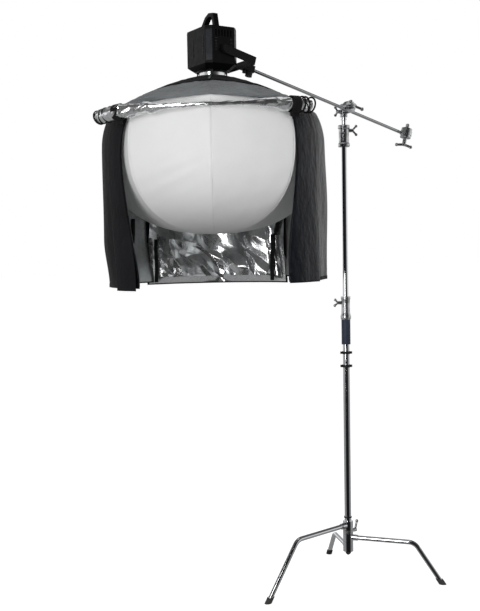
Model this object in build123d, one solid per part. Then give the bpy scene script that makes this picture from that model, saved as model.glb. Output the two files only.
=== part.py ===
from build123d import *
from math import acos, cos, degrees, radians, sin
import os

os.makedirs("parts", exist_ok=True)

# ---------------------------------------------------------------- driving dimensions, millimetres
# The set-up is drawn with the stand's column on the Z axis, the boom's lamp end towards -X, and saved
# in the row frame, whose origin is on the floor in the middle of the whole set-up's outline.
COLUMN_AT = (502.0, 53.0)

COLUMN_R, COLUMN_BORE = 17.5, 15.5
RISER_1_R, RISER_1_BORE = 15.0, 13.0
RISER_2_R, RISER_2_BORE = 12.5, 10.5
STUD_R = 8.0
COLUMN_BOTTOM, COLUMN_TOP = 130.0, 1440.0
RISER_1_BOTTOM, RISER_1_TOP = 1130.0, 2340.0
RISER_2_BOTTOM, RISER_2_TOP = 1440.0, 2438.0

LEG_R, LEG_BORE = 12.5, 10.0
LEG_BEND = 60.0
FOOT_R = 16.0
# name: (azimuth in degrees, axis height, knee radius, foot radius)
LEGS = {
    "left": (189, 275, 380, 590),
    "right": (309, 208, 355, 500),
    "rear": (69, 155, 250, 370),
}
HUB_R = 27.0
TURN_GAP = 0.3
RUNNING = 0.08
SCREW_R = 5.0                    # clamp screws of the collars, the grip head and the yoke receiver
SCREW_SHY = 2.5                  # how far a collar's released screw stops from the tube it clamps
LOWER_COLLAR_Z = (1380.0, 1502.0)
MID_COLLAR_Z = (2287.0, 2399.0)
CLIPS_Z = (1204.0, 1133.0)
LEG_STOP_Z = 315.0
SLEEVE_R = 23.5
SLEEVE_Z = (1249.0, 1379.5)
STOP_RING_Z = (2427.0, 2433.0)

BOLT_Z = 2488.0
BOLT_R = 6.0
ARM_SLOPE = 15.0
ARM_Y = -44.0
ARM_DROP = 18.0
ARM_R, ARM_BORE = 8.0, 5.5
ARM_TAIL, ARM_TIP = -430.0, 645.0
DISC_R, DISC_T = 31.5, 15.0
TAIL_HEAD_AT = -392.0

LAMP_X = -820.0
LAMP_DEPTH, LAMP_WIDTH = 170.0, 220.0
LAMP_CHAMFER = 26.0
LAMP_BOTTOM, LAMP_TOP = 2622.0, 2786.0
BEZEL_BOTTOM = 2600.0
WALL = 3.0

RING_R = 63.0
BALL_Z, BALL_R = 2225.0, 507.0
BALL_DROP, BALL_RISE = 387.0, 342.0
BALL_MOUTH = 80.0
CLOTH = 1.2
CAP_EDGE, BAND_EDGE = 310.0, 452.0
FRONT = 236.0
SKIRT_TOP_R, SKIRT_SHOULDER_R, SKIRT_HEM_R = 470.0, 534.0, 540.0
SKIRT_TOP, SKIRT_SHOULDER, SKIRT_HEM = 2380.0, 2200.0, 1570.0
SKIRT_SPAN = 88.0
ROLL_R, ROLL_BORE, ROLL_Z = 32.0, 27.0, 2405.0
ROLL_AT, ROLL_CURVE, ROLL_HALF = 480.0, 750.0, 40.0
STRAP_AT, STRAP_SPAN = 30.0, 2.2  # degrees along the roll
RIBS = 8


# ---------------------------------------------------------------- helpers

def rod(radius, z0, z1, x=0, y=0):
    """Round bar along Z."""
    return Pos(x, y, (z0 + z1) / 2) * Cylinder(radius, z1 - z0)


def tube(outer, inner, z0, z1):
    return rod(outer, z0, z1) - rod(inner, z0 - 1, z1 + 1)


def block(x0, x1, y0, y1, z0, z1):
    return Pos((x0 + x1) / 2, (y0 + y1) / 2, (z0 + z1) / 2) * Box(x1 - x0, y1 - y0, z1 - z0)


def turned(points, arc=360):
    """Solid of revolution about Z from (radius, height) corners."""
    outline = make_face(Polyline(*points, close=True))
    return revolve(Plane.XZ * outline, Axis.Z, revolution_arc=arc)


def across(shape, origin, direction):
    """Moves a shape drawn along +Z so that it runs along direction from origin."""
    return Plane(origin=origin, z_dir=direction).location * shape


def toward(azimuth):
    return Vector(cos(radians(azimuth)), sin(radians(azimuth)), 0)


def tee_handle(screw_r, start, hub, reach, spread, hub_r=9.0, wing_r=5.0):
    """Clamp screw along Z with a hub and two cast wings."""
    shape = rod(screw_r, start, hub) + rod(hub_r, hub, hub + 14)
    for side in (-1, 1):
        run = Vector(side * spread, 0, reach)
        wing = across(rod(wing_r, 0, run.length), (0, 0, hub + 8), run)
        shape += wing + Pos(side * spread, 0, hub + 8 + reach) * Sphere(wing_r + 2.5)
    return shape


def save(name, shape):
    shape = Pos(*COLUMN_AT, 0) * shape
    shape.label = name
    export_step(shape, f"parts/{name}.step")


# ---------------------------------------------------------------- stand base

def leg_tube(height, knee, reach):
    start = Vector(50, 0, height)
    route = FilletPolyline(start, (knee, 0, height), (reach, 0, 0), radius=LEG_BEND)
    section = Plane(origin=start, z_dir=(1, 0, 0)) * (Circle(LEG_R) - Circle(LEG_BORE))
    return sweep(section, path=route) - block(0, reach + 99, -99, 99, -99, 8)


def leg_foot(height, knee, reach):
    slope = Vector(reach - knee, 0, -height)
    shoe = across(rod(FOOT_R, -80, 40), (reach, 0, 0), slope)
    socket = across(rod(LEG_R, -80, 40), (reach, 0, 0), slope)
    shoe &= block(0, reach + 99, -99, 99, 0, 26)
    return shoe - (socket & block(0, reach + 99, -99, 99, 8, 99))


def leg_collar(height, low, high, bore):
    """Ring on the column with the socket that a leg is welded into."""
    ring = rod(HUB_R, low, high)
    socket = across(rod(FOOT_R, 0, 52), (0, 0, height), (1, 0, 0))
    return ring + socket - rod(bore, low - 1, high + 1)


COLLARS = {
    "left": (252, 298, COLUMN_R + TURN_GAP),
    "right": (187, 229, COLUMN_R + TURN_GAP),
    "rear": (133, 186, COLUMN_R),
}


def stand_base():
    for name, (azimuth, height, knee, reach) in LEGS.items():
        low, high, bore = COLLARS[name]
        turn = Rot(0, 0, azimuth)
        welded = leg_collar(height, low, high, bore) + leg_tube(height, knee, reach)
        save(f"{name}_leg", turn * welded)
        save(f"{name}_foot", turn * leg_foot(height, knee, reach))
    save("base_column", tube(COLUMN_R, COLUMN_BORE, COLUMN_BOTTOM, COLUMN_TOP))
    save("column_tip", turned([(0, 112), (5, 112), (13, 119), (17, COLUMN_BOTTOM), (0, COLUMN_BOTTOM)]))


LOCK_AT, LOCK_AZ = 240.0, 0.0


def leg_lock():
    """Fixed ring between the two turning collars, with the screw that locks the legs."""
    ring = tube(HUB_R, COLUMN_R, 230, 251)
    boss = across(rod(9, COLUMN_R + 4, 38), (0, 0, LOCK_AT), toward(LOCK_AZ))
    hole = across(rod(5 + RUNNING, COLUMN_R + 0.5, 60), (0, 0, LOCK_AT), toward(LOCK_AZ))
    save("hub_spacer", ring + boss - hole)
    lever = rod(5, COLUMN_R + 1, 39) + rod(10, 38.5, 54)
    run = Vector(46, 0, 14)
    lever += across(rod(6, 0, run.length), (0, 0, 47), run) + Pos(46, 0, 61) * Sphere(8.5)
    frame = Plane(origin=(0, 0, LOCK_AT), x_dir=(0, 0, 1), z_dir=toward(LOCK_AZ))
    save("leg_lock_handle", frame.location * lever)


LOWER_KNOB_Z, LOWER_KNOB_AZ = 1470.0, 150.0
MID_KNOB_Z, MID_KNOB_AZ = 2372.0, 330.0


def knob_hole(z, azimuth, bore, outer):
    hole = across(rod(SCREW_R + RUNNING, bore - 2, 60), (0, 0, z), toward(azimuth))
    boss = across(rod(9.5, bore + 2, outer), (0, 0, z), toward(azimuth))
    return boss, hole


def lock_collars():
    bore = RISER_1_R + TURN_GAP
    low, high = LOWER_COLLAR_Z
    body = turned([(COLUMN_R, low), (25, low), (28, 1390), (28, 1399), (23, 1416), (22, 1470),
                   (24, 1488), (25.5, 1491), (25.5, high), (bore, high), (bore, COLUMN_TOP + 0.2),
                   (COLUMN_R, COLUMN_TOP + 0.2)])
    boss, hole = knob_hole(LOWER_KNOB_Z, LOWER_KNOB_AZ, bore, 32)
    save("lower_collar", body + boss - hole)
    knob = Rot(0, 0, 60) * tee_handle(SCREW_R, bore + SCREW_SHY, 32.5, 16, 18)
    save("lower_collar_knob", across(knob, (0, 0, LOWER_KNOB_Z), toward(LOWER_KNOB_AZ)))

    bore = RISER_2_R + TURN_GAP
    low, high = MID_COLLAR_Z
    body = turned([(RISER_1_R, low), (29, low), (31, 2292), (31, 2302), (27, 2308), (27, 2378),
                   (31, 2384), (31, 2396), (29, high), (bore, high), (bore, RISER_1_TOP + 0.2),
                   (RISER_1_R, RISER_1_TOP + 0.2)])
    boss, hole = knob_hole(MID_KNOB_Z, MID_KNOB_AZ, bore, 36)
    save("mid_collar", body + boss - hole)
    knob = Rot(0, 0, 90) * tee_handle(SCREW_R, bore + SCREW_SHY, 36.5, 20, 22)
    save("mid_collar_knob", across(knob, (0, 0, MID_KNOB_Z), toward(MID_KNOB_AZ)))


def clip(z):
    """Snap clip: a ring on the column with a cable lug on each side."""
    ring = tube(22, COLUMN_R, z - 7, z + 7)
    lugs = block(-31, 31, -6, 6, z - 6, z + 6) - rod(COLUMN_R, z - 9, z + 9)
    return Rot(0, 0, -30) * (ring + lugs)


def stand_column():
    save("marker_sleeve", tube(SLEEVE_R, COLUMN_R, *SLEEVE_Z))
    stop = tube(21, COLUMN_R, LEG_STOP_Z, LEG_STOP_Z + 6)
    save("column_bands", Compound([clip(z) for z in CLIPS_Z] + [stop]))
    save("lower_riser", tube(RISER_1_R, RISER_1_BORE, RISER_1_BOTTOM, RISER_1_TOP))
    riser = rod(RISER_2_R, RISER_2_BOTTOM, RISER_2_TOP) + rod(16, *STOP_RING_Z)
    save("upper_riser", riser - rod(RISER_2_BORE, RISER_2_BOTTOM - 1, RISER_2_TOP + 1))
    stud = rod(RISER_2_BORE, 2390, RISER_2_TOP) + rod(14, RISER_2_TOP, 2442) + rod(STUD_R, 2442, 2502)
    save("top_stud", stud)


# ---------------------------------------------------------------- grip head on the stand

SPLIT = 1.0                      # half of the gap between the two gripping discs
BACK_DISC_Y = ARM_Y + SPLIT      # inner face of the back disc
SOCKET_SCREW_Z = 2468.0


def arm_plane():
    """Local Z runs up the boom to the lamp, local Y is +Y, local X is square to both."""
    slope = radians(ARM_SLOPE)
    up = Vector(sin(slope), 0, cos(slope))
    origin = Vector(0, ARM_Y, BOLT_Z) - up * ARM_DROP
    return Plane(origin=origin, x_dir=up, z_dir=(-cos(slope), 0, sin(slope)))


ARM = arm_plane()


def grip_disc(y0, y1):
    """Disc square to Y between y0 and y1, with a half groove for the boom."""
    disc = across(rod(DISC_R, -y1, -y0), (0, 0, BOLT_Z), (0, -1, 0))
    bore = across(rod(BOLT_R + RUNNING, -y1 - 1, -y0 + 1), (0, 0, BOLT_Z), (0, -1, 0))
    groove = ARM.location * rod(ARM_R + TURN_GAP, -60, 60)
    return disc - bore - groove


def grip_head():
    seat = rod(20, 2442.5, 2508) + block(-16, 16, -27, -10, 2462, 2508)
    seat += across(rod(28, 19, 27), (0, 0, BOLT_Z), (0, -1, 0))
    seat += across(rod(10, 10, 30), (0, 0, SOCKET_SCREW_Z), (-1, 0, 0))
    seat -= rod(STUD_R + RUNNING, 2400, 2503)
    seat -= across(rod(SCREW_R + RUNNING, STUD_R + 1, 40), (0, 0, SOCKET_SCREW_Z), (-1, 0, 0))
    seat -= across(rod(BOLT_R, 11, 40), (0, 0, BOLT_Z), (0, -1, 0))
    save("head_socket", seat)
    knob = tee_handle(SCREW_R, STUD_R + 1.5, 30.5, 16, 20)
    save("socket_knob", across(knob, (0, 0, SOCKET_SCREW_Z), (-1, 0, 0)))

    front = SPLIT + DISC_T - ARM_Y
    back = BACK_DISC_Y
    save("grip_discs", Compound([grip_disc(back, back + DISC_T), grip_disc(-front, -front + DISC_T)]))
    save("head_bolt", across(rod(BOLT_R, 11, front + 20), (0, 0, BOLT_Z), (0, -1, 0)))
    grip = tube(12, BOLT_R + RUNNING, front + 0.4, front + 22) + rod(12, front + 20.5, front + 34)
    for side in (-1, 1):
        run = Vector(side * 40, 0, 20)
        grip += across(rod(6.5, 0, run.length), (0, 0, front + 26), run)
        grip += Pos(side * 40, 0, front + 46) * Sphere(9.5)
    save("head_handle", Plane(origin=(0, 0, BOLT_Z), z_dir=(0, -1, 0)).location * (Rot(0, 0, 65) * grip))


# ---------------------------------------------------------------- boom and its tail head

def boom():
    save("boom_arm", ARM.location * tube(ARM_R, ARM_BORE, ARM_TAIL, ARM_TIP))
    cap = rod(ARM_R, ARM_TAIL - 4, ARM_TAIL) + rod(ARM_BORE, ARM_TAIL, ARM_TAIL + 12)
    save("boom_end_cap", ARM.location * cap)


TAIL_Y = -20.0                   # the tail head's bolt stands beside the boom
TAIL_HALF = 11.0


def tail_frame(shape):
    """Local Z of the shape becomes the direction up and square to the boom."""
    stand = Plane(origin=(0, TAIL_Y, TAIL_HEAD_AT), x_dir=(0, 1, 0), z_dir=(1, 0, 0))
    return ARM.location * (stand.location * shape)


def tail_head():
    seat = tail_frame(rod(DISC_R, -TAIL_HALF, TAIL_HALF) - rod(BOLT_R + RUNNING, -30, 30))
    save("tail_seat", seat - ARM.location * rod(ARM_R, -460, -300))
    disc = rod(29, TAIL_HALF + 0.4, TAIL_HALF + 14) - rod(BOLT_R + RUNNING, 0, 60)
    save("tail_discs", tail_frame(Compound([disc, Rot(180, 0, 0) * disc])))
    top = TAIL_HALF + 14.4
    bolt = rod(BOLT_R, -top - 26, top + 12) + rod(13, top, top + 7) + Pos(0, 0, top + 18) * Sphere(10.5)
    save("tail_bolt", tail_frame(bolt))
    grip = tube(11, BOLT_R + RUNNING, top + 0.3, top + 27) + rod(10, top + 26.5, top + 44)
    for side in (-1, 1):
        run = Vector(side * 38, 0, 7)
        grip += across(rod(7, 0, run.length), (0, 0, top + 38), run)
        grip += Pos(side * 38, 0, top + 45) * Sphere(9)
    save("tail_handle", tail_frame(Rot(180, 0, 125) * grip))


# ---------------------------------------------------------------- yoke

def pivot_along():
    """Distance along the boom axis from the ARM origin to the lamp's tilt axis."""
    slope = radians(ARM_SLOPE)
    return (-LAMP_X - ARM_DROP * sin(slope)) / cos(slope)


PIVOT = pivot_along()
STRAP_W, STRAP_T = 38.0, 5.0
STRAP_Y = 117.0                  # inner face of each yoke arm
BRIDGE = 676.0                   # inner face of the bridge, along the boom
PIN_R = 6.0
RECEIVER_AT = 606.0
RECEIVER_KNOB_AT, PLUNGER_AT = 624.0, 652.0
PLUNGER_R = 3.0


def yoke():
    half = STRAP_W / 2
    strap = block(-half, half, -STRAP_Y - STRAP_T, STRAP_Y + STRAP_T, BRIDGE - STRAP_T, BRIDGE)
    for side in (-1, 1):
        y0, y1 = sorted((side * STRAP_Y, side * (STRAP_Y + STRAP_T)))
        strap += block(-half, half, y0, y1, BRIDGE - STRAP_T, PIVOT)
        strap += across(rod(half, y0, y1), (0, 0, PIVOT), (0, 1, 0))
    strap -= across(rod(PIN_R + RUNNING, -200, 200), (0, 0, PIVOT), (0, 1, 0))
    save("yoke_strap", ARM.location * strap)

    socket = block(-17, 17, -17, 17, RECEIVER_AT, BRIDGE - STRAP_T)
    socket -= rod(ARM_R + RUNNING, RECEIVER_AT - 9, ARM_TIP + 2)
    socket -= across(rod(SCREW_R + RUNNING, ARM_R + 1, 60), (0, 0, RECEIVER_KNOB_AT), (-1, 0, 0))
    socket -= across(rod(PLUNGER_R + RUNNING, ARM_R + 1, 60), (0, 0, PLUNGER_AT), (-1, 0, 0))
    save("yoke_receiver", ARM.location * socket)
    knob = rod(SCREW_R, ARM_R + 1, 18) + rod(17, 17.5, 38)
    save("receiver_knob", ARM.location * across(knob, (0, 0, RECEIVER_KNOB_AT), (-1, 0, 0)))
    plunger = rod(PLUNGER_R, ARM_R + 1.5, 18) + rod(9, 17.5, 30)
    save("receiver_plunger", ARM.location * across(plunger, (0, 0, PLUNGER_AT), (-1, 0, 0)))

    lever = rod(16, STRAP_Y + STRAP_T + 0.4, STRAP_Y + STRAP_T + 16)
    lever += block(-9, 9, -70, 0, STRAP_Y + STRAP_T + 6, STRAP_Y + STRAP_T + 16)
    lever -= rod(PIN_R + RUNNING, 0, STRAP_Y + STRAP_T + 10)
    save("tilt_lock_lever", ARM.location * across(Rot(0, 0, -20) * lever, (0, 0, PIVOT), (0, 1, 0)))


# ---------------------------------------------------------------- lamp head

LAMP = Location((LAMP_X, ARM_Y, 0))


def pivot_height():
    return (ARM.location * Vertex(0, 0, PIVOT)).center().Z


def octagon(depth, width, cut):
    """Rectangle with its four corners cut at 45 degrees."""
    return chamfer(Rectangle(depth, width).vertices(), cut)


def prism(outline, z0, z1):
    return Pos(0, 0, z0) * extrude(outline, z1 - z0)


def lamp_shell():
    outer = octagon(LAMP_DEPTH, LAMP_WIDTH, LAMP_CHAMFER)
    inner = octagon(LAMP_DEPTH - 2 * WALL, LAMP_WIDTH - 2 * WALL, LAMP_CHAMFER - 1.5)
    shell = prism(outer, LAMP_BOTTOM, LAMP_TOP) - prism(inner, LAMP_BOTTOM - 1, LAMP_TOP + 1)
    z = pivot_height()
    for side in (-1, 1):
        shell += across(rod(22, LAMP_WIDTH / 2 - 1, STRAP_Y - 1), (0, 0, z), (0, side, 0))
    for side in (-1, 1):
        for k in range(6):
            x = -40 + 16 * k
            y = side * LAMP_WIDTH / 2
            shell -= block(x - 3, x + 3, y - 6, y + 6, LAMP_TOP - 42, LAMP_TOP - 12)
    shell -= across(rod(PIN_R, -LAMP_WIDTH, LAMP_WIDTH), (0, 0, z), (0, 1, 0))
    save("lamp_housing", LAMP * shell)
    outside = STRAP_Y + STRAP_T
    pin = rod(PIN_R, LAMP_WIDTH / 2 - 12, outside + 9)
    headed = rod(PIN_R, LAMP_WIDTH / 2 - 12, outside + 1) + rod(14, outside + 0.4, outside + 6)
    pins = [across(pin, (0, 0, z), (0, 1, 0)), across(headed, (0, 0, z), (0, -1, 0))]
    save("tilt_pins", LAMP * Compound(pins))

    lid = prism(octagon(LAMP_DEPTH - 4, LAMP_WIDTH - 4, LAMP_CHAMFER - 2), LAMP_TOP, LAMP_TOP + 6)
    for k in range(7):
        lid -= block(-54 + 10 * k, -50 + 10 * k, -78, 78, LAMP_TOP - 1, LAMP_TOP + 7)
    save("rear_cover", LAMP * lid)
    lower = Pos(0, 0, BEZEL_BOTTOM) * octagon(LAMP_DEPTH - 34, LAMP_WIDTH - 62, LAMP_CHAMFER)
    upper = Pos(0, 0, LAMP_BOTTOM) * octagon(LAMP_DEPTH, LAMP_WIDTH, LAMP_CHAMFER)
    save("front_bezel", LAMP * (loft([lower, upper]) - rod(48, BEZEL_BOTTOM - 1, LAMP_BOTTOM + 1)))


def carry_handle():
    z = LAMP_TOP + 6
    outline = make_face(Polyline((-76, z), (-60, 2860), (-20, 2866), (14, 2852), (72, z), close=True))
    hole = make_face(Polyline((-58, z), (-46, 2844), (-18, 2849), (4, 2839), (48, z), close=True))
    loop = Plane.YZ.location * (outline - hole)
    save("carry_handle", LAMP * (Pos(-26, 0, 0) * extrude(loop, 26)))


def lamp_inside():
    sink = block(-60, 60, -70, 70, 2668, 2676)
    for k in range(12):
        y = -66 + 12 * k
        sink += block(-58, 58, y - 1.2, y + 1.2, 2676, 2728)
    save("heat_sink", LAMP * sink)
    save("light_board", LAMP * (rod(46, 2660, 2668) + rod(20, 2656, 2660)))
    frame = block(-46, 46, -46, 46, 2732, 2756) - rod(43, 2700, 2800)
    for turn in (0, 90):
        frame += Rot(0, 0, turn) * (block(-44, 44, -3, 3, 2753, 2756) - rod(12, 2700, 2756.5))
    save("fan_frame", LAMP * (frame + tube(12.5, 3.1, 2753, 2756)))
    rotor = rod(15, 2734, 2751) + rod(3, 2751, 2755.5)
    for k in range(7):
        blade = Pos(27, 0, 2742) * (Rot(32, 0, 0) * Box(27, 2, 14))
        rotor += Rot(0, 0, 360 / 7 * k) * blade
    save("fan_rotor", LAMP * rotor)
    save("display_panel", LAMP * (Pos(LAMP_DEPTH / 2 + 1, 12, 2712) * Box(2, 92, 46)))
    save("power_inlet", LAMP * (block(LAMP_DEPTH / 2, LAMP_DEPTH / 2 + 6, -24, 24, 2640, 2672)
                                - block(LAMP_DEPTH / 2 - 1, LAMP_DEPTH / 2 + 9, -13, 13, 2646, 2666)))
    dial = rod(3, LAMP_TOP + 6.3, LAMP_TOP + 10, 66, -30) + rod(10, LAMP_TOP + 7, LAMP_TOP + 19, 66, -30)
    save("control_dial", LAMP * dial)


LUG_AZ = 148.0


def lamp_mount():
    ring = tube(72, 50, 2593, BEZEL_BOTTOM - 0.1) + tube(57, 50, 2580, 2594)
    for turn in (LUG_AZ, LUG_AZ + 180):
        ring += Rot(0, 0, turn) * block(66, 71.8, -8, 8, 2576, 2595)
    ring -= Rot(0, 0, LUG_AZ + 90) * block(58, 73, -8, 8, 2570, 2601)
    save("bayonet_ring", LAMP * ring)
    lever = block(63.8, 76, -7, 7, 2594, 2599) + block(73, 78, -7, 7, 2578, 2599)
    save("bayonet_lever", LAMP * (Rot(0, 0, LUG_AZ + 90) * lever))


# ---------------------------------------------------------------- softbox

def ball_arc(offset, r_inner, r_outer=None):
    """Ellipse arc of the ball's upper half, moved outwards, between two radii."""
    a, b = BALL_R + offset, BALL_RISE + offset
    low = 0 if r_outer is None else degrees(acos(r_outer / a))
    return EllipticalCenterArc((0, BALL_Z), a, b, start_angle=low,
                               arc_size=degrees(acos(r_inner / a)) - low)


def shoulder_cloth(r_inner, r_outer, lift):
    """Cloth lying over the top of the ball."""
    inside = ball_arc(lift, r_inner, r_outer)
    outside = ball_arc(lift + CLOTH, r_inner, r_outer)
    edges = [inside, outside, Line(inside @ 0, outside @ 0), Line(inside @ 1, outside @ 1)]
    return revolve(Plane.XZ * make_face(edges), Axis.Z)


def ball_solid(offset):
    """The whole ball as one lump, cut flat where its mouth is."""
    upper = ball_arc(offset, BALL_MOUTH)
    lower = EllipticalCenterArc((0, BALL_Z), BALL_R + offset, BALL_DROP + offset,
                                start_angle=-90, arc_size=90)
    top = upper @ 1
    sides = [lower, upper, Line(top, (0, top.Y)), Line((0, top.Y), lower @ 0)]
    return revolve(Plane.XZ * make_face(sides), Axis.Z)


def diffuser_ball():
    top = BALL_Z + BALL_RISE
    shell = ball_solid(0) - ball_solid(-CLOTH) - rod(BALL_MOUTH + 3, top - 30, top + 9)
    save("diffuser_ball", LAMP * shell)


def rib_frame():
    inset = -7.0
    upper = EllipticalCenterArc((0, BALL_Z), BALL_R + inset, BALL_RISE + inset, start_angle=0,
                                arc_size=degrees(acos(80 / (BALL_R + inset))))
    lower = EllipticalCenterArc((0, BALL_Z), BALL_R + inset, BALL_DROP + inset, start_angle=-87,
                                arc_size=87)
    path = Plane.XZ * Wire([lower, upper])
    section = Plane(origin=path @ 0, z_dir=path % 0) * Circle(1.6)
    rib = sweep(section, path=path)
    turns = [FRONT + 360 / RIBS * k for k in range(RIBS)]
    save("ribs", LAMP * Compound([Rot(0, 0, turn) * rib for turn in turns]))
    hub = rod(23, BALL_Z - BALL_DROP + 2.5, BALL_Z - BALL_DROP + 5.2)
    save("bottom_hub", LAMP * hub)


def speed_ring():
    low = BALL_Z + BALL_RISE - 12
    ring = tube(RING_R, 58, low, 2592) + tube(79, 58, low, low + 5)
    for k in range(RIBS):
        ring += Rot(0, 0, FRONT + 360 / RIBS * k) * block(62, 76, -5, 5, low - 9, low + 1)
    save("speed_ring", LAMP * ring)


def top_cloth():
    save("top_cap", LAMP * shoulder_cloth(BALL_MOUTH + 2, CAP_EDGE, 5))
    save("shoulder_band", LAMP * shoulder_cloth(CAP_EDGE - 14, BAND_EDGE, 2.5))


def skirts():
    inner = [(SKIRT_TOP_R, SKIRT_TOP), (SKIRT_SHOULDER_R, SKIRT_SHOULDER), (SKIRT_HEM_R, SKIRT_HEM)]
    outer = [(r + CLOTH, z) for r, z in reversed(inner)]
    panel = turned(inner + outer, arc=SKIRT_SPAN)
    for name, turn in (("left", -90), ("back", 180), ("right", 90)):
        start = FRONT + turn - SKIRT_SPAN / 2
        save(f"skirt_{name}", LAMP * (Rot(0, 0, start) * panel))


def front_roll():
    path = CenterArc((ROLL_AT - ROLL_CURVE, 0, ROLL_Z), ROLL_CURVE, -ROLL_HALF, 2 * ROLL_HALF)
    section = Plane(origin=path @ 0, z_dir=path % 0) * (Circle(ROLL_R) - Circle(ROLL_BORE))
    save("front_roll", LAMP * (Rot(0, 0, FRONT) * sweep(section, path=path)))
    straps = []
    for side in (-1, 1):
        start = side * STRAP_AT - STRAP_SPAN / 2
        arc = CenterArc((ROLL_AT - ROLL_CURVE, 0, ROLL_Z), ROLL_CURVE, start, STRAP_SPAN)
        section = Plane(origin=arc @ 0, z_dir=arc % 0) * (Circle(ROLL_R + 2.5) - Circle(ROLL_R + 0.2))
        straps.append(Rot(0, 0, FRONT) * sweep(section, path=arc))
    save("roll_straps", LAMP * Compound(straps))


stand_base()
leg_lock()
lock_collars()
stand_column()
grip_head()
boom()
tail_head()
yoke()
lamp_shell()
carry_handle()
lamp_inside()
lamp_mount()
diffuser_ball()
rib_frame()
speed_ring()
top_cloth()
skirts()
front_roll()
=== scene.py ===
import bpy
import numpy as np
from math import cos, pi, radians, sin, sqrt
from mathutils import Matrix, Vector


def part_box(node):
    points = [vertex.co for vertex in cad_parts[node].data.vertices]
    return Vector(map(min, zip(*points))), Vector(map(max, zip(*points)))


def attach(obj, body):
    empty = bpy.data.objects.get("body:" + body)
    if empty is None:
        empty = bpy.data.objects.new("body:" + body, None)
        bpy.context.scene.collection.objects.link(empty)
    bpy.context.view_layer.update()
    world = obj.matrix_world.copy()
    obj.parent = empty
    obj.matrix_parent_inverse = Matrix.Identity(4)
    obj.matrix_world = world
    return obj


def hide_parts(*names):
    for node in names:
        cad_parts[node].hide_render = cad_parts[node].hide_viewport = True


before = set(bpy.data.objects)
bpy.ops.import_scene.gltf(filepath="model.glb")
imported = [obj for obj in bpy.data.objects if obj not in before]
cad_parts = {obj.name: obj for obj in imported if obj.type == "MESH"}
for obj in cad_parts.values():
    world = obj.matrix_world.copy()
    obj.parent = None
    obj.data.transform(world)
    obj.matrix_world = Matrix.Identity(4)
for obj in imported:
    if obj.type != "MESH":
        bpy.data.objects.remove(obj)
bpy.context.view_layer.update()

# ---------------------------------------------------------------- places, all read from the frame

BALL_LOW, BALL_HIGH = (Vector(v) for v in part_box("diffuser_ball"))
AXIS = Vector(((BALL_LOW.x + BALL_HIGH.x) / 2, (BALL_LOW.y + BALL_HIGH.y) / 2, 0))
BALL_R = (BALL_HIGH.x - BALL_LOW.x) / 2
BALL_BOTTOM = BALL_LOW.z
BALL_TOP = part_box("top_cap")[1][2] - 0.006
WAIST = BALL_LOW.z + 0.387
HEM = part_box("skirt_left")[0][2] + 0.014
SKIRT_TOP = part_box("skirt_left")[1][2]
ROLL_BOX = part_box("front_roll")
ROLL_Z = (ROLL_BOX[0][2] + ROLL_BOX[1][2]) / 2 - 0.022
CAP_R = (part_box("top_cap")[1][0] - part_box("top_cap")[0][0]) / 2
BAND_R = (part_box("shoulder_band")[1][0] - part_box("shoulder_band")[0][0]) / 2
STAND = (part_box("base_column")[0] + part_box("base_column")[1]) / 2
STAND.z = 0
FRONT = radians(238.1)           # front seam; the cloth sits turned by 2.1 degrees on ribs that start at 236
GORES = 8


# ---------------------------------------------------------------- mesh helpers

def link(mesh, name):
    piece = bpy.data.objects.new(name, mesh)
    bpy.context.scene.collection.objects.link(piece)
    return piece


def grid_piece(name, points, material, closed=False, smooth=True, thick=0.0):
    """points is an array rows x columns x 3; closed joins the last column to the first."""
    rows, columns = points.shape[:2]
    wrap = columns if closed else columns - 1
    faces = [(r * columns + c, r * columns + (c + 1) % columns,
              (r + 1) * columns + (c + 1) % columns, (r + 1) * columns + c)
             for r in range(rows - 1) for c in range(wrap)]
    mesh = bpy.data.meshes.new(name)
    mesh.from_pydata(points.reshape(-1, 3).tolist(), [], faces)
    mesh.polygons.foreach_set("use_smooth", [smooth] * len(faces))
    mesh.materials.append(material)
    piece = link(mesh, name)
    if thick:
        solid = piece.modifiers.new("thickness", "SOLIDIFY")
        solid.thickness = thick
        solid.offset = 0
    return piece


def polar(radius, azimuth, z):
    """Points about the softbox axis; azimuth counts from the front seam, positive to camera right."""
    angle = FRONT + azimuth
    return np.stack([AXIS.x + radius * np.cos(angle), AXIS.y + radius * np.sin(angle), z + 0 * angle], -1)


def sweep_tube(name, path, radius, material, sides=10, closed=False):
    """Round tube of given radius, a number or one per point, along a list of points."""
    path = np.array(path, float)
    radius = np.broadcast_to(np.array(radius, float), len(path))
    tangent = np.gradient(path, axis=0)
    if closed:
        tangent = np.roll(path, -1, 0) - np.roll(path, 1, 0)
    tangent /= np.linalg.norm(tangent, axis=1)[:, None]
    up = np.array([0.0, 0.0, 1.0]) if abs(tangent[0][2]) < 0.9 else np.array([1.0, 0.0, 0.0])
    rings = []
    for point, along, r in zip(path, tangent, radius):
        side = np.cross(along, up)
        side /= np.linalg.norm(side)
        up = np.cross(side, along)
        turn = np.linspace(0, 2 * pi, sides, endpoint=False)
        rings.append(point + r * (np.cos(turn)[:, None] * side + np.sin(turn)[:, None] * up))
    if closed:
        rings.append(rings[0])
    return grid_piece(name, np.array(rings), material, closed=True)


def smooth_noise(u, v, seed, waves=7, low=1.0, high=4.0):
    """Sum of a few random sine waves, between about -1 and 1."""
    rng = np.random.default_rng(seed)
    total = 0 * u
    for _ in range(waves):
        turn, size, shift = rng.uniform(0, 2 * pi), rng.uniform(low, high), rng.uniform(0, 2 * pi)
        total = total + np.sin(2 * pi * size * (u * cos(turn) + v * sin(turn)) + shift)
    return total / sqrt(waves) * 0.7


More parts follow.
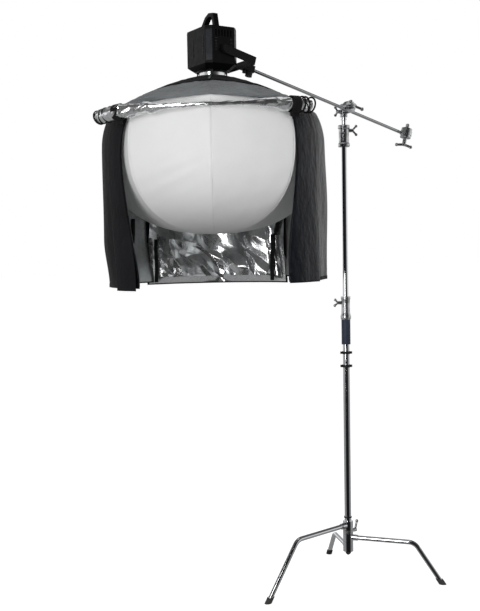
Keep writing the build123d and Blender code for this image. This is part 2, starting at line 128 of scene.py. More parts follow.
def facets(u, v, seed, size=1.0):
    """Flat triangles between random heights, as in crumpled foil: about -1 to 1, creases at their edges."""
    rng = np.random.default_rng(seed)
    height = rng.uniform(-1, 1, (64, 64))
    x = u / size + 0.35 * np.sin(1.7 * v / size + seed) + 0.2 * np.sin(2.9 * u / size)
    y = v / size + 0.35 * np.sin(1.3 * u / size + 2 * seed) + 0.2 * np.sin(3.1 * v / size)
    i, j = np.floor(x).astype(int), np.floor(y).astype(int)
    fx, fy = x - i, y - j
    corner = [[height[(i + a) % 64, (j + b) % 64] for b in (0, 1)] for a in (0, 1)]
    lower = corner[0][0] + (corner[1][0] - corner[0][0]) * fx + (corner[0][1] - corner[0][0]) * fy
    upper = corner[1][1] + (corner[0][1] - corner[1][1]) * (1 - fx) + (corner[1][0] - corner[1][1]) * (1 - fy)
    return np.where(fx + fy < 1, lower, upper)


# ---------------------------------------------------------------- materials

def new_material(name, color, rough=0.5, metal=0.0):
    material = bpy.data.materials.new(name)
    material.use_nodes = True
    shader = material.node_tree.nodes["Principled BSDF"]
    shader.inputs["Base Color"].default_value = (*color, 1)
    shader.inputs["Roughness"].default_value = rough
    shader.inputs["Metallic"].default_value = metal
    return material, material.node_tree, shader


def add(tree, kind, **values):
    node = tree.nodes.new(kind)
    for key, value in values.items():
        if key in node.inputs:
            node.inputs[key].default_value = value
        else:
            setattr(node, key, value)
    return node


def place_nodes(tree, scale=(1, 1, 1)):
    where = add(tree, "ShaderNodeTexCoord")
    mapping = add(tree, "ShaderNodeMapping")
    mapping.inputs["Scale"].default_value = scale
    tree.links.new(where.outputs["Object"], mapping.inputs["Vector"])
    return mapping.outputs["Vector"]


def noise(tree, vector, size, detail=4.0, rough=0.55):
    node = add(tree, "ShaderNodeTexNoise", Scale=size, Detail=detail, Roughness=rough)
    tree.links.new(vector, node.inputs["Vector"])
    return node.outputs["Fac"]


def ramp(tree, factor, stops):
    """stops: (position, value or colour)."""
    node = add(tree, "ShaderNodeValToRGB")
    elements = node.color_ramp.elements
    while len(elements) < len(stops):
        elements.new(0.5)
    for element, (position, value) in zip(elements, stops):
        element.position = position
        element.color = (*value, 1) if hasattr(value, "__len__") else (value, value, value, 1)
    tree.links.new(factor, node.inputs["Fac"])
    return node.outputs["Color"]


def bump(tree, shader, height, strength, distance=0.001, under=None):
    node = add(tree, "ShaderNodeBump", Strength=strength, Distance=distance)
    tree.links.new(height, node.inputs["Height"])
    if under is not None:
        tree.links.new(under, node.inputs["Normal"])
    tree.links.new(node.outputs["Normal"], shader.inputs["Normal"])


def weave(tree, vector, pitch):
    """Plain weave: two crossed sets of threads."""
    waves = []
    for direction in ("X", "Z"):
        wave = add(tree, "ShaderNodeTexWave", Scale=pitch, Distortion=0.4, bands_direction=direction)
        wave.inputs["Detail"].default_value = 1.0
        tree.links.new(vector, wave.inputs["Vector"])
        waves.append(wave.outputs["Fac"])
    mix = add(tree, "ShaderNodeMath", operation="MULTIPLY")
    tree.links.new(waves[0], mix.inputs[0])
    tree.links.new(waves[1], mix.inputs[1])
    return mix.outputs[0]


def chrome(name, color=(0.66, 0.67, 0.69), rough=0.06):
    material, tree, shader = new_material(name, color, rough, 1.0)
    place = place_nodes(tree)
    smear = noise(tree, place, 14, 6)
    tree.links.new(ramp(tree, smear, [(0.35, rough), (0.7, rough + 0.09)]), shader.inputs["Roughness"])
    tree.links.new(ramp(tree, noise(tree, place, 60, 3), [(0.3, [c * 0.93 for c in color]), (0.6, color)]),
                   shader.inputs["Base Color"])
    scratch = place_nodes(tree, (1, 1, 0.05))
    bump(tree, shader, noise(tree, scratch, 900, 2), 0.02, 0.0003)
    return material


def cast(name, color=(0.60, 0.61, 0.62), rough=0.30):
    """Chromed casting: bright, slightly lumpy, darker in its pits."""
    material, tree, shader = new_material(name, color, rough, 1.0)
    place = place_nodes(tree)
    lumps = noise(tree, place, 120, 5)
    tree.links.new(ramp(tree, lumps, [(0.3, rough + 0.14), (0.65, rough - 0.06)]), shader.inputs["Roughness"])
    tree.links.new(ramp(tree, noise(tree, place, 35, 4), [(0.3, [c * 0.62 for c in color]), (0.6, color)]),
                   shader.inputs["Base Color"])
    bump(tree, shader, lumps, 0.45, 0.0016)
    return material


def moulded(name, color, rough=0.5, grain=900, depth=0.15, gloss=0.25):
    """Moulded plastic, rubber or powder coat."""
    material, tree, shader = new_material(name, color, rough)
    shader.inputs["Specular IOR Level"].default_value = gloss
    place = place_nodes(tree)
    tree.links.new(ramp(tree, noise(tree, place, 9, 5), [(0.3, [c * 0.8 for c in color]),
                                                      (0.7, [min(1, c * 1.25) for c in color])]),
                   shader.inputs["Base Color"])
    tree.links.new(ramp(tree, noise(tree, place, 40, 4), [(0.3, rough - 0.07), (0.7, rough + 0.09)]),
                   shader.inputs["Roughness"])
    bump(tree, shader, noise(tree, place, grain, 2), depth, 0.0004)
    return material


def cloth(name, color, rough=0.8, pitch=420, sheen=0.2, vary=0.12, wrinkle=0.0, gloss=0.12):
    material, tree, shader = new_material(name, color, rough)
    shader.inputs["Specular IOR Level"].default_value = gloss
    place = place_nodes(tree)
    low, high = [c * (1 - vary) for c in color], [min(1, c * (1 + vary)) for c in color]
    tree.links.new(ramp(tree, noise(tree, place, 7, 6), [(0.3, low), (0.7, high)]), shader.inputs["Base Color"])
    shader.inputs["Sheen Weight"].default_value = sheen
    shader.inputs["Sheen Roughness"].default_value = 0.45
    under = None
    if wrinkle:
        fold = noise(tree, place_nodes(tree, (1, 1, 0.45)), 16, 5, 0.6)
        node = add(tree, "ShaderNodeBump", Strength=wrinkle, Distance=0.02)
        tree.links.new(fold, node.inputs["Height"])
        under = node.outputs["Normal"]
    bump(tree, shader, weave(tree, place, pitch), 0.25, 0.0004, under)
    return material


def foil(name, color=(0.78, 0.79, 0.80), rough=0.16, metal=0.96):
    """Aluminised lining: bright metal with fine crackle in its creases."""
    material, tree, shader = new_material(name, color, rough, metal)
    place = place_nodes(tree)
    crackle = add(tree, "ShaderNodeTexVoronoi", Scale=42.0, feature="DISTANCE_TO_EDGE")
    tree.links.new(place, crackle.inputs["Vector"])
    fine = noise(tree, place, 70, 5, 0.6)
    tree.links.new(ramp(tree, noise(tree, place, 18, 4), [(0.35, rough), (0.7, rough + 0.16)]),
                   shader.inputs["Roughness"])
    tree.links.new(ramp(tree, fine, [(0.25, [c * 0.82 for c in color]), (0.6, color)]),
                   shader.inputs["Base Color"])
    first = add(tree, "ShaderNodeBump", Strength=0.14, Distance=0.004)
    tree.links.new(crackle.outputs["Distance"], first.inputs["Height"])
    bump(tree, shader, fine, 0.08, 0.003, first.outputs["Normal"])
    return material


CHROME = chrome("chrome_tube")
BOOM_CHROME = chrome("chrome_boom", (0.50, 0.51, 0.53), 0.10)
CAST = cast("cast_chrome")
STEEL = chrome("bright_steel", (0.60, 0.60, 0.61), 0.18)
RUBBER = moulded("black_rubber", (0.060, 0.060, 0.058), 0.72, 500, 0.3)
PLASTIC = moulded("black_plastic", (0.016, 0.016, 0.018), 0.42)
HOUSING = moulded("lamp_black", (0.0035, 0.0035, 0.004), 0.38, 1400, 0.12, 0.08)
HOUSING_BLUE = moulded("lamp_corner", (0.012, 0.015, 0.019), 0.33, 1400, 0.12, 0.15)
BLADE = moulded("louvre_blade", (0.035, 0.036, 0.040), 0.30, 1400, 0.05, 0.2)
YOKE = moulded("yoke_black", (0.005, 0.005, 0.006), 0.40, 1600, 0.2, 0.14)
NAVY = moulded("navy_sleeve", (0.035, 0.045, 0.075), 0.46, 300, 0.25)
SILVER = chrome("anodised_ring", (0.82, 0.83, 0.84), 0.26)
FIN = cast("extruded_fins", (0.55, 0.56, 0.57), 0.35)
BOARD = moulded("light_board", (0.75, 0.70, 0.42), 0.5)
SCREEN = moulded("display_glass", (0.010, 0.014, 0.020), 0.12, 200, 0.02)
WHITE = cloth("white_diffusion", (0.83, 0.83, 0.83), 0.75, 700, 0.12, 0.015)
WHITE_SEAM = cloth("white_seam_tape", (0.80, 0.80, 0.80), 0.7, 700, 0.1, 0.02)
BLACK = cloth("black_cloth", (0.009, 0.009, 0.011), 0.70, 520, 0.02, 0.25, 0.35, 0.10)
# Copy of the black skirt cloth for the right panel. Its darker, bluer colour is painted shade. Its higher gloss and
# deeper wrinkles give the sheen that panel shows in this light.
BLACK_PAINTED_SHADE_SHEEN = cloth("black_cloth_painted_shade_sheen", (0.0045, 0.0055, 0.009), 0.34, 520, 0.0, 0.25, 0.8, 0.14)
GREY = cloth("grey_cloth", (0.150, 0.163, 0.172), 0.55, 480, 0.12, 0.30, 1.0, 0.45)
WEBBING = cloth("black_webbing", (0.009, 0.009, 0.010), 0.7, 260, 0.03, 0.2)
FOIL = foil("silver_foil")
FOIL_BACK = foil("silver_back_lining", (0.72, 0.73, 0.74), 0.12, 0.88)
FOIL_PLAIN = foil("silver_lining", (0.52, 0.54, 0.54), 0.34)


# ---------------------------------------------------------------- softbox cloth

NECK_R = 0.070                   # the cloth starts here, at the silver ring
RIB_R = BALL_R + 0.008           # the seams stand out on the ribs, the gores lie flatter between them
FULL = 2.3                       # how square the ball's side view is; 2 is an ellipse
SHOULDER_R = 0.452               # the upper cloth is stretched straight from the ring to here
SHOULDER_Z = WAIST + 0.200
SHOULDER_SLOPE = (BALL_TOP + 0.002 - SHOULDER_Z) / (SHOULDER_R - NECK_R)
SHOULDER_SWELL = 0.012           # how far the ribs push the upper cloth out of its straight line


def shoulder_height(radius):
    """Height of the ball's upper side at a seam: nearly straight from the ring, then round to the waist."""
    share = np.clip(radius / RIB_R, 0, 1)
    drop = (1 - share ** FULL) / (1 - (SHOULDER_R / RIB_R) ** FULL)
    bent = WAIST + (SHOULDER_Z - WAIST) * drop ** (1 / FULL)
    cone = SHOULDER_Z + (SHOULDER_R - radius) * SHOULDER_SLOPE
    cone = cone + SHOULDER_SWELL * np.sin(pi * np.clip((SHOULDER_R - radius) / (SHOULDER_R - NECK_R), 0, 1))
    return np.where(radius < SHOULDER_R, cone, bent)


def seam_radius(z):
    """Radius of the ball's upper side at a seam, by height."""
    radii = np.linspace(NECK_R, RIB_R, 400)
    return np.interp(-z, -shoulder_height(radii), radii)


def gore_pull(azimuth, depth):
    """1 at each seam, less between two seams, where the cloth is pulled flat."""
    half = pi / GORES
    inside = np.mod(azimuth, 2 * half) - half
    return 1 - depth * (1 - cos(half) / np.cos(inside))


def ride_softbox(piece, *nodes):
    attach(piece, "softbox")
    if nodes:
        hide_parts(*nodes)
    return piece


def diffuser():
    turn = np.linspace(0, 2 * pi, GORES * 28, endpoint=False)
    swing = np.linspace(0, pi / 2, 60)
    low_r, low_z = RIB_R * np.sin(swing) ** (2 / FULL), WAIST - (WAIST - BALL_BOTTOM) * np.cos(swing) ** (2 / FULL)
    high_r = RIB_R - (RIB_R - 0.074) * np.linspace(0, 1, 60)[1:] ** 1.6
    seam_r, seam_z = np.concatenate([low_r, high_r]), np.concatenate([low_z, shoulder_height(high_r)])
    azimuth, radius = np.meshgrid(turn, seam_r)
    z = np.meshgrid(turn, seam_z)[1]
    radius = radius * gore_pull(azimuth, 0.85)
    lateral = radius * np.sin(azimuth)
    drag = np.exp(-((z - WAIST + 0.12) / 0.09) ** 2) * np.exp(-((lateral + 0.15) / 0.13) ** 2)
    radius = radius + 0.0021 * drag * np.sin(95 * (z - 0.42 * lateral)) * (np.cos(azimuth) > 0)
    radius = radius + 0.0012 * smooth_noise(azimuth * 1.2, z * 4, 5)
    ball = grid_piece("ball_diffuser", polar(radius, azimuth, z), WHITE, closed=True, thick=0.0008)
    ride_softbox(ball, "diffuser_ball")
    for k in range(GORES):
        width = np.array([-0.004, -0.0015, 0.0015, 0.004])
        lift = np.array([-0.0012, 0.0012, 0.0012, -0.0012])
        side = width[None, :] / np.maximum(seam_r[:, None], 0.02)
        strip = polar(seam_r[:, None] + 0.0008 + lift[None, :], 2 * pi / GORES * k + side, seam_z[:, None] + 0 * side)
        tape = ride_softbox(grid_piece(f"ball_seam_{k + 1}", strip, WHITE_SEAM))


def cap_edge(azimuth):
    """Radius of the black cap: cut shorter at the front, where the grey cloth is drawn up over it."""
    front = np.mod(azimuth + pi, 2 * pi) - pi
    return CAP_R + 0.030 - 0.105 * np.exp(-(front / 0.85) ** 2)


CAP_LIFT, BAND_LIFT, TAPE_LIFT = 0.011, 0.005, 0.0145   # how far each layer lies above the ball's cloth


def cap_and_band():
    turn = np.linspace(0, 2 * pi, 240, endpoint=False)
    span = np.linspace(0, 1, 26)
    azimuth, share = np.meshgrid(turn, span)
    radius = NECK_R + (cap_edge(azimuth) - NECK_R) * share
    pull = gore_pull(azimuth, 0.75)
    scallop = 1 + 0.012 * np.sin(4 * azimuth + 1.0) * share
    z = shoulder_height(radius) + CAP_LIFT + 0.002 * smooth_noise(azimuth, share * 2, 11) * share
    cap = grid_piece("top_cap_cloth", polar(radius * pull * scallop, azimuth, z), BLACK, closed=True, thick=0.0016)
    ride_softbox(cap, "top_cap")
    edge = polar((radius * pull * scallop)[-1], azimuth[0], z[-1] - 0.002)
    ride_softbox(sweep_tube("top_cap_binding", edge, 0.0035, WEBBING, 8, closed=True))

    turn = np.linspace(0, 2 * pi, 420, endpoint=False)
    azimuth, share = np.meshgrid(turn, np.linspace(0, 1, 60))
    low_edge = BAND_R + 0.022 - 0.018 * np.exp(-(np.mod(azimuth + pi, 2 * pi) - pi) ** 2 / 0.5)
    inner = cap_edge(azimuth) - 0.014
    radius = inner + (low_edge - inner) * share
    around, down = azimuth * 0.4, share * 0.15
    crumple = 0.55 * facets(around, down, 3, 0.055) + 0.5 * smooth_noise(azimuth * 2.0, share * 0.8, 8, 9, 1.5, 5)
    z = shoulder_height(radius) + BAND_LIFT + 0.007 * crumple * np.sin(pi * np.clip(share, 0.05, 1)) ** 0.5
    band = grid_piece("shoulder_band_cloth", polar(radius * gore_pull(azimuth, 0.55), azimuth, z), GREY,
                      closed=True, thick=0.0012)
    ride_softbox(band, "shoulder_band")

    reach = np.linspace(0.078, cap_edge(0.0), 14)
    across_strip = np.array([-0.0045, 0.0045])
    strip = polar(reach[:, None] + 0 * across_strip, radians(-2) + across_strip / reach[:, None],
                  shoulder_height(reach)[:, None] + TAPE_LIFT + 0 * across_strip)
    ride_softbox(grid_piece("cap_front_tape", strip, FOIL_PLAIN, thick=0.001))


def skirt_radius(z):
    """Skirts lie on the ribs' shoulders and fall straight from the waist."""
    hang = RIB_R + 0.006 + 0.006 * np.clip((WAIST - z) / (WAIST - HEM), 0, 1)
    return np.where(z > WAIST, seam_radius(z) + 0.006, hang)


def ease(value):
    value = np.clip(value, 0, 1)
    return value * value * (3 - 2 * value)


def skirt_points(edge_a, edge_b, hem, seed, folds, offset, rows=90, columns=110, tuck=0.0, top=None):
    """Panel between two edge azimuths, each a function of height share 0 at the top to 1 at the hem."""
    share, across = np.meshgrid(np.linspace(0, 1, rows), np.linspace(0, 1, columns), indexing="ij")
    top = SKIRT_TOP + 0.004 if top is None else top
    a, b = edge_a(share), edge_b(share)
    azimuth = a + (b - a) * across
    z = top + (hem - top) * share
    loose = ease((WAIST + 0.03 - z) / 0.45)
    wave = smooth_noise(azimuth * 1.6, share * 0.35, seed, 5, 0.8, 1.8)
    ripple = smooth_noise(azimuth * 2.4, share * 0.9, seed + 1, 6, 0.8, 2.0)
    radius = skirt_radius(z) + offset + folds * loose * wave + 0.002 * ripple * loose
    radius = radius - tuck * ease((share - 0.72) / 0.28)
    return polar(radius, azimuth, z), azimuth, share


def straight(angle):
    return lambda share: radians(angle) + 0 * share


def bent(top, waist, hem):
    """Edge azimuth in degrees at the top, at the waist and at the hem."""
    def edge(share):
        return (radians(top) + radians(waist - top) * ease(share / 0.25)
                + radians(hem - waist) * ease((share - 0.22) / 0.7))
    return edge


def hem_binding(name, points, material, height=0.013):
    """Flat tape sewn over a panel's lower edge."""
    low = points[-1]
    rows = np.array([low + (0, 0, height), low + (0, 0, -0.003)])
    outward = low - np.array([AXIS.x, AXIS.y, 0]) * (1, 1, 0)
    outward[:, 2] = 0
    outward /= np.linalg.norm(outward, axis=1)[:, None]
    loop = [rows[row] + outward * out for row, out in ((0, 0.002), (1, 0.002), (1, -0.002), (0, -0.002))]
    return ride_softbox(grid_piece(name, np.array(loop), material, smooth=False))


FOLD = 0.0045                    # depth of the left panel's soft vertical folds
RIGHT_FOLDS = 2.6                # the right panel hangs in folds this many times as deep
OUTER_LIFT, LINING_LIFT, FLAP_LIFT = 0.004, 0.0005, 0.0085   # how far each layer hangs outside the skirt's line


def side_skirt(side, node, edge, far, flap, hem, flap_hem, tuck, seed, material):
    """Black outer cloth, silver lining and the folded front flap of one side panel."""
    sign = -1 if side == "left" else 1
    signed = [lambda share, f=f: sign * f(share) for f in (edge, far, flap)]
    folds = FOLD if side == "left" else RIGHT_FOLDS * FOLD
    outer, _, _ = skirt_points(signed[0], signed[1], hem, seed, folds, OUTER_LIFT, tuck=tuck)
    cloth_piece = grid_piece(f"{node}_cloth", outer, material, thick=0.0012)
    ride_softbox(cloth_piece, node)
    hem_binding(f"{node}_hem", outer, WEBBING)
    lining, _, _ = skirt_points(signed[0], signed[1], hem + 0.004, seed, folds, LINING_LIFT, tuck=tuck)
    inner = ride_softbox(grid_piece(f"{node}_lining", lining, FOIL_PLAIN))
    front, _, _ = skirt_points(signed[0], signed[2], flap_hem, seed, folds, FLAP_LIFT, columns=36,
                               tuck=tuck * 0.3, top=SKIRT_TOP - 0.01)
    fold = ride_softbox(grid_piece(f"{node}_flap", front, material, thick=0.0016))


BACK_FOLD = 0.010
FOIL_DEPTH = 0.050               # how far the crumpled lining stands in from the back panel


def back_skirt():
    points, _, _ = skirt_points(straight(136.5), straight(223.5), HEM + 0.004, 21, BACK_FOLD, OUTER_LIFT)
    cloth_piece = grid_piece("skirt_back_cloth", points, BLACK, thick=0.0012)
    ride_softbox(cloth_piece, "skirt_back")
    lining, azimuth, share = skirt_points(straight(136.8), straight(223.2), HEM + 0.008, 21, BACK_FOLD, 0,
                                           260, 260)
    around, down = (azimuth - pi) * 0.54, share * 0.8
    crumple = 0.80 * facets(around, down, 31, 0.150) + 0.20 * facets(around + 0.3 * down, down, 32, 0.062)
    centre = np.exp(-(around / 0.17) ** 4) * np.exp(-((down - 0.58) / 0.10) ** 4)
    edges = ease((np.abs(around) - 0.30) / 0.06)
    free = ease((share - 0.30) / 0.3) * ease((1 - share) / 0.05 + 0.1) * (1 - 0.85 * centre) * (1 - 0.8 * edges)
    inward = np.array([AXIS.x, AXIS.y, 0]) - lining * (1, 1, 0)
    inward /= np.linalg.norm(inward, axis=-1)[..., None]
    lining = lining + inward * (0.006 + FOIL_DEPTH * free * (0.6 + crumple))[..., None]
    foil_piece = ride_softbox(grid_piece("skirt_back_lining", lining, FOIL_BACK, smooth=False))
    hem_binding("skirt_back_hem", points, WEBBING, 0.020)


def fastener_tapes():
    """Black touch tape down the panels' inner edges: its azimuth low and high, its two heights, how far in."""
    tapes = [(-139.5, -139.5, 1.598, 1.820, 0.040), (-124.5, -125.5, 1.800, 1.925, 0.008),
             (144.5, 143.5, 1.598, 1.835, 0.040), (142.0, 139.0, 1.830, 1.925, 0.036)]
    for number, (low_at, high_at, low, high, inset) in enumerate(tapes, 1):
        z = np.linspace(low, high, 24)
        middle = np.radians(np.linspace(low_at, high_at, 24))
        wide = np.array([-0.0115, 0.0115])
        radius = skirt_radius(z) - inset + 0.002 * np.sin(40 * z)
        strip = polar(radius[:, None] + 0 * wide, middle[:, None] + wide / 0.5, z[:, None] + 0 * wide)
        ride_softbox(grid_piece(f"touch_tape_{number}", strip, WEBBING, thick=0.002))


ROLL_ENDS = (-1.01, 0.86)
ROLL_SWING = radians(41)         # half of the arc that the roll lies on, as seen from that arc's centre
ROLL_ARC_R, ROLL_FRONT = 0.75, 0.497


def roll_line(share):
    """Middle of the rolled front panel; share runs from -1 at camera left to 1 at camera right."""
    swing = ROLL_SWING * np.asarray(share, float)
    front = ROLL_FRONT - ROLL_ARC_R * (1 - np.cos(swing))
    lateral = ROLL_ARC_R * np.sin(swing)
    droop = (-0.030 * np.clip(-share, 0, 1.1) ** 2 + 0.002 * np.clip(share, 0, 1) ** 2
             - 0.005 * np.exp(-(share / 0.35) ** 2))
    forward, right = Vector((cos(FRONT), sin(FRONT), 0)), Vector((-sin(FRONT), cos(FRONT), 0))
    base = np.array(AXIS) + front[..., None] * np.array(forward) + lateral[..., None] * np.array(right)
    base[..., 2] = ROLL_Z + droop
    return base


def roll_thickness(share):
    return 0.0115 + 0.0205 * ease((np.abs(share) - 0.22) / 0.5) - 0.004 * ease((np.abs(share) - 0.8) / 0.2)


def front_roll():
    """The front panel is rolled up round itself, so it is a spiral of cloth, crumpled alike in every turn."""
    turns = 8
    along = np.linspace(*ROLL_ENDS, 240)
    turn = np.linspace(0, 2 * pi * turns, 34 * turns)
    path = roll_line(along)
    tangent = np.gradient(path, axis=0)
    tangent /= np.linalg.norm(tangent, axis=1)[:, None]
    side = np.cross(tangent, (0, 0, 1.0))
    side /= np.linalg.norm(side, axis=1)[:, None]
    up = np.cross(side, tangent)
    a, t = np.meshgrid(along, turn, indexing="ij")
    crumple = (0.7 * facets(a * 0.52 + 0.012 * np.sin(t), 0.05 * np.cos(t), 41, 0.062)
               + 0.3 * facets(a * 0.52, 0.05 * np.cos(t + 1), 42, 0.026))
    calm = 1 - 0.4 * np.exp(-(a / 0.3) ** 2)
    wound = 0.28 + 0.72 * t / (2 * pi * turns)
    radius = roll_thickness(a) * wound * (1 + 0.42 * crumple * calm)
    radius = radius * (1 + 0.10 * np.sin(t) * np.sin(5 * a))
    points = path[:, None, :] + radius[..., None] * (np.cos(t)[..., None] * side[:, None, :]
                                                     + np.sin(t)[..., None] * up[:, None, :])
    roll = grid_piece("front_roll_foil", points, FOIL, smooth=False)
    ride_softbox(roll, "front_roll")
    for number, share in enumerate((-1.005, -0.955, -0.905, 0.765, 0.812, 0.857), 1):
        ring_loop(f"roll_end_binding_{number}", share, 0.0038, 1.06, 0.25 * (-1) ** number)


def ring_loop(name, share, thickness, swell, tilt):
    """Black edge binding that shows as a loop round the roll."""
    turn = np.linspace(0, 2 * pi, 30, endpoint=False)
    centre = roll_line(np.array([share]))[0]
    ahead = roll_line(np.array([share + 0.01]))[0] - centre
    ahead /= np.linalg.norm(ahead)
    side = np.cross(ahead, (0, 0, 1.0))
    up = np.cross(side, ahead)
    radius = roll_thickness(np.array([share]))[0] * swell
    loop = [centre + radius * (cos(t) * side + sin(t) * up) + ahead * 0.02 * tilt * sin(t + 0.6) for t in turn]
    ride_softbox(sweep_tube(name, loop, thickness, WEBBING, 8, closed=True))


def roll_strap(name, share, width, tail):
    """Webbing band round the roll, with a tail down to the panel."""
    turn = np.linspace(0, 2 * pi, 40, endpoint=False)
    centre = roll_line(np.array([share]))[0]
    ahead = roll_line(np.array([share + 0.01]))[0] - centre
    ahead /= np.linalg.norm(ahead)
    side = np.cross(ahead, (0, 0, 1.0))
    up = np.cross(side, ahead)
    radius = roll_thickness(np.array([share]))[0] * 1.10
    rows = [[centre + radius * (cos(t) * side + sin(t) * up) + ahead * d for t in turn]
            for d in np.linspace(-width / 2, width / 2, 5)]
    band = grid_piece(name, np.array(rows), WEBBING, closed=True, thick=0.0022)
    ride_softbox(band, *(["roll_straps"] if tail else []))
    drop = [centre - up * (radius + 0.006 * k) for k in range(4)]
    rows = [[point + ahead * d for point in drop] for d in (-width / 2, width / 2)]
    ride_softbox(grid_piece(f"{name}_tail", np.array(rows), WEBBING, thick=0.002))


def plate(name, centre, across_dir, width, height, material, body, proud=0.0008):
    """Thin upright panel on a wall of the lamp, standing proud of it."""
    run = Vector(across_dir).normalized()
    out = run.cross(Vector((0, 0, 1))).normalized()
    corners = []
    for d in (0.0, proud):
        for a, b in ((-1, -1), (1, -1), (1, 1), (-1, 1)):
            corners.append(Vector(centre) + run * a * width / 2 + Vector((0, 0, b * height / 2)) + out * d)
    mesh = bpy.data.meshes.new(name)
    walls = [(k, (k + 1) % 4, (k + 1) % 4 + 4, k + 4) for k in range(4)]
    mesh.from_pydata([tuple(c) for c in corners], [], walls + [(4, 5, 6, 7), (3, 2, 1, 0)])
    mesh.materials.append(material)
    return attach(link(mesh, name), body)


def louvre(name, centre, across_dir, width, low, high, pitch=0.0068):
    """Upright row of small louvre blades in one piece."""
    run = Vector(across_dir).normalized()
    out = run.cross(Vector((0, 0, 1))).normalized()
    points, faces = [], []
    for z in np.arange(low, high, pitch):
        first = len(points)
        for d, lift in ((0.0, 0.0), (0.0022, -0.0016), (0.0022, -0.0024), (0.0, -0.0012)):
            for a in (-1, 1):
                points.append(tuple(Vector((centre[0], centre[1], z + lift)) + run * a * width / 2 + out * d))
        faces += [(first + 2 * k, first + 2 * k + 1, first + (2 * k + 3) % 8, first + (2 * k + 2) % 8)
                  for k in range(4)]
        faces += [(first, first + 2, first + 4, first + 6), (first + 7, first + 5, first + 3, first + 1)]
    mesh = bpy.data.meshes.new(name)
    mesh.from_pydata(points, [], faces)
    mesh.materials.append(BLADE)
    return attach(link(mesh, name), "lamp")


def lamp_trim():
    low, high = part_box("lamp_housing")
    middle = (low + high) / 2
    wall, chamfer = low.x, 0.026
    side = middle.y - 0.110
    for number, (y, bottom, top) in enumerate(((0.028, 0.046, 0.131), (-0.067, 0.046, 0.131)), 1):
        louvre(f"louvre_front_{number}", (wall, middle.y + y), (0, -1, 0), 0.011, low.z + bottom, low.z + top)
        louvre(f"louvre_back_{number}", (high.x, middle.y - y), (0, 1, 0), 0.011, low.z + bottom, low.z + top)
    for number, (x, y, way) in enumerate(((-0.041, side, 1), (0.041, side, 1), (-0.041, middle.y + 0.110, -1)), 1):
        louvre(f"louvre_side_{number}", (middle.x + x, y), (way, 0, 0), 0.010, low.z + 0.060, low.z + 0.118)
    corner = (wall + chamfer / 2, side + chamfer / 2, middle.z)
    plate("corner_strip", corner, (1, -1, 0), 0.030, 0.140, HOUSING_BLUE, "lamp", 0.0006)


lamp_trim()
diffuser()
cap_and_band()
side_skirt("left", "skirt_left", bent(46.5, 49.5, 40.5), straight(139), bent(60, 62, 55),
           HEM + 0.016, HEM + 0.003, 0.024, 51, BLACK)
# The right panel wears the copy of the black cloth with painted shade and sheen.
side_skirt("right", "skirt_right", bent(44, 45, 38.5), straight(139), bent(60, 62, 61),
           HEM + 0.036, HEM + 0.028, 0.0, 61, BLACK_PAINTED_SHADE_SHEEN)
back_skirt()
fastener_tapes()
front_roll()
roll_strap("roll_strap_left", -0.785, 0.036, True)
roll_strap("roll_strap_right", 0.700, 0.040, False)


# ---------------------------------------------------------------- materials of the CAD nodes

SLOT_MATERIALS = {
    "chrome_tube": CHROME, "chrome_boom": BOOM_CHROME, "cast_metal": CAST, "bright_steel": STEEL,
    "black_rubber": RUBBER, "black_plastic": PLASTIC, "navy_sleeve": NAVY, "black_housing": HOUSING,
    "black_yoke": YOKE, "silver_ring": SILVER, "heat_sink": FIN, "light_board": BOARD, "screen": SCREEN,
    "spring_rib": PLASTIC,
}


def finish_nodes():
    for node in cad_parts.values():
        for socket in node.material_slots:
            socket.material = SLOT_MATERIALS.get(socket.material.name, socket.material)
    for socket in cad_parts["tilt_pins"].material_slots:
        socket.material = YOKE


finish_nodes()


# ---------------------------------------------------------------- floor, light and camera

VIEW = radians(32)               # the camera looks this far from +Y towards +X
LOOK = Vector((sin(VIEW), cos(VIEW), 0))
RIGHT = Vector((cos(VIEW), -sin(VIEW), 0))


CAMERA_BACK, CAMERA_LEFT, CAMERA_HEIGHT = 5.0, 0.5595, 1.77   # metres from the foot of the column
CAMERA_DOWN, CAMERA_ROLL = 3.50, -1.0   # degrees
CAMERA_LENS = 55.75              # mm, on a 36 mm sensor


def floor():
    """Pale floor; it doesn't throw light back up, as the studio light is drawn by the world and the lamps."""
    points = np.array([[(x, y, -0.001) for x in (-60, 60)] for y in (-60, 60)], float)
    material, _, shader = new_material("studio_floor", (0.80, 0.80, 0.80), 0.9)
    shader.inputs["Emission Color"].default_value = (1, 1, 1, 1)
    shader.inputs["Emission Strength"].default_value = 0.74
    ground = grid_piece("studio_floor", points, material)
    ground.visible_diffuse = False
    ground.visible_glossy = False


def area_light(name, place, aim, size, power, height=None, mirrored=False):
    data = bpy.data.lights.new(name, "AREA")
    data.shape = "RECTANGLE"
    data.size, data.size_y = size, height or size
    data.energy = power
    lamp = bpy.data.objects.new(name, data)
    lamp.location = place
    lamp.rotation_euler = (Vector(aim) - Vector(place)).to_track_quat("-Z", "Y").to_euler()
    lamp.visible_glossy = mirrored
    bpy.context.scene.collection.objects.link(lamp)


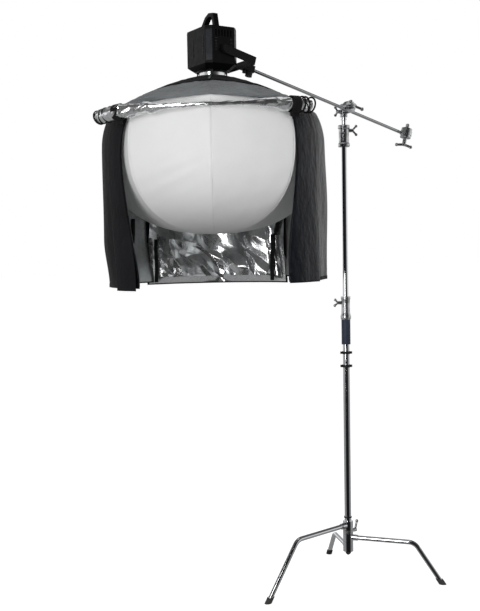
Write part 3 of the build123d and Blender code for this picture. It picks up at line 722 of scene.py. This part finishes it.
def studio_world():
    """White to look at; what it lights and mirrors is a pale room, dark behind the camera and overhead."""
    world = bpy.data.worlds.new("studio")
    bpy.context.scene.world = world
    world.use_nodes = True
    tree = world.node_tree
    tree.nodes.clear()
    where = add(tree, "ShaderNodeTexCoord")
    towards = add(tree, "ShaderNodeVectorMath", operation="DOT_PRODUCT")
    tree.links.new(where.outputs["Generated"], towards.inputs[0])
    towards.inputs[1].default_value = -LOOK
    room = ramp(tree, towards.outputs["Value"], [(0.0, 0.95), (0.34, 0.90), (0.56, 0.42), (0.70, 0.04), (1.0, 0.03)])
    split = add(tree, "ShaderNodeSeparateXYZ")
    tree.links.new(where.outputs["Generated"], split.inputs[0])
    height = add(tree, "ShaderNodeMapRange")
    tree.links.new(split.outputs["Z"], height.inputs["Value"])
    height.inputs["From Min"].default_value = -1.0
    ceiling = ramp(tree, height.outputs["Result"],
                   [(0.0, 0.30), (0.42, 0.35), (0.50, 1.0), (0.62, 1.0), (0.72, 0.15), (1.0, 0.08)])
    below = ramp(tree, height.outputs["Result"], [(0.0, 0.25), (0.45, 0.40), (0.60, 1.0), (1.0, 1.0)])
    mix = add(tree, "ShaderNodeMix", data_type="RGBA", blend_type="MULTIPLY")
    mix.inputs["Factor"].default_value = 1.0
    tree.links.new(room, mix.inputs["A"])
    tree.links.new(ceiling, mix.inputs["B"])
    path = add(tree, "ShaderNodeLightPath")
    mirrored = background(tree, mix.outputs["Result"], 1.1)
    diffuse = background(tree, below, 0.34)
    white = background(tree, None, 1.0)
    lit = add(tree, "ShaderNodeMixShader")
    tree.links.new(path.outputs["Is Glossy Ray"], lit.inputs["Fac"])
    tree.links.new(diffuse, lit.inputs[1])
    tree.links.new(mirrored, lit.inputs[2])
    both = add(tree, "ShaderNodeMixShader")
    tree.links.new(path.outputs["Is Camera Ray"], both.inputs["Fac"])
    tree.links.new(lit.outputs["Shader"], both.inputs[1])
    tree.links.new(white, both.inputs[2])
    out = add(tree, "ShaderNodeOutputWorld")
    tree.links.new(both.outputs["Shader"], out.inputs["Surface"])


def background(tree, color, strength):
    node = add(tree, "ShaderNodeBackground", Strength=strength)
    node.inputs["Color"].default_value = (1, 1, 1, 1)
    if color:
        tree.links.new(color, node.inputs["Color"])
    return node.outputs["Background"]


def lights_and_camera():
    middle = STAND + Vector((-0.6, 0, 1.9))
    key = middle - 3.2 * LOOK - 1.4 * RIGHT + Vector((0, 0, 0.1))
    fill = middle - 3.4 * LOOK + 2.2 * RIGHT + Vector((0, 0, -0.1))
    area_light("key", key, middle, 0.9, 55, 2.6, True)
    area_light("fill", fill, middle, 1.6, 35)
    area_light("overhead", middle + Vector((0.1, 0.2, 3.3)), middle, 3.0, 22, mirrored=True)
    data = bpy.data.cameras.new("photo_view")
    data.lens, data.sensor_width = CAMERA_LENS, 36
    camera = bpy.data.objects.new("photo_view", data)
    camera.location = STAND - CAMERA_BACK * LOOK - CAMERA_LEFT * RIGHT + Vector((0, 0, CAMERA_HEIGHT))
    tilt = (Matrix.Rotation(-VIEW, 4, "Z") @ Matrix.Rotation(radians(90 - CAMERA_DOWN), 4, "X")
            @ Matrix.Rotation(radians(CAMERA_ROLL), 4, "Z"))
    camera.rotation_euler = tilt.to_euler()
    bpy.context.scene.collection.objects.link(camera)
    bpy.context.scene.camera = camera
    bpy.context.scene.view_settings.view_transform = "Standard"


floor()
studio_world()
lights_and_camera()
